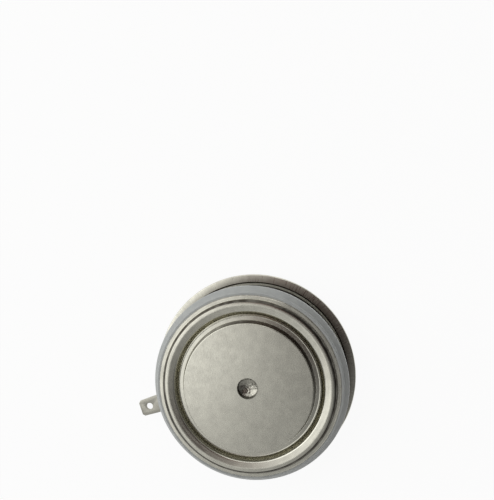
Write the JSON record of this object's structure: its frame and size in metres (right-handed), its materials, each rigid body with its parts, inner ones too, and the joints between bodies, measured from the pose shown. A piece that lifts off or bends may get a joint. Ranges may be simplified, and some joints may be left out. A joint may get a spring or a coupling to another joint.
{
  "type": "disc thyristor",
  "caption": "Pressure-contact disc thyristor: two nickel-plated pole faces on a sealed ceramic ring with a welded rim, a side ear and a gate tube.",
  "frame": {"origin": "centre of the lower contact face, at the mouth of its locating hole", "axes": "+Z along the disc's axis towards the upper contact face, +X along the ear and the gate tube"},
  "size_m": [0.0944, 0.0832, 0.026],
  "materials": {
    "plated_copper": "satin nickel plating on copper",
    "plated_sheet": "satin nickel plating on pressed sheet",
    "alumina": "smooth grey-white alumina",
    "molybdenum": "lapped",
    "silicon": "polished and metallised",
    "silicone_rubber": "matte",
    "white_plastic": "turned fluoropolymer",
    "contact_metal": "silver plated",
    "spring_steel": "drawn wire"
  },
  "bodies": {
    "root": {"top_pole": "plated_copper", "top_diaphragm": "plated_sheet", "ceramic_ring": "alumina", "weld_flange": "plated_sheet", "lid_flange": "plated_sheet", "bottom_pole": "plated_copper", "anode_moly_disc": "molybdenum", "silicon_wafer": "silicon", "cathode_moly_disc": "molybdenum", "edge_rubber": "silicone_rubber", "centring_ring": "white_plastic", "gate_contact_pin": "contact_metal", "gate_spring": "spring_steel", "gate_insulator": "white_plastic", "gate_lead": "contact_metal", "lead_sleeve": "white_plastic", "gate_tube": "plated_sheet", "tube_collar": "plated_sheet"}
  },
  "joints": []
}
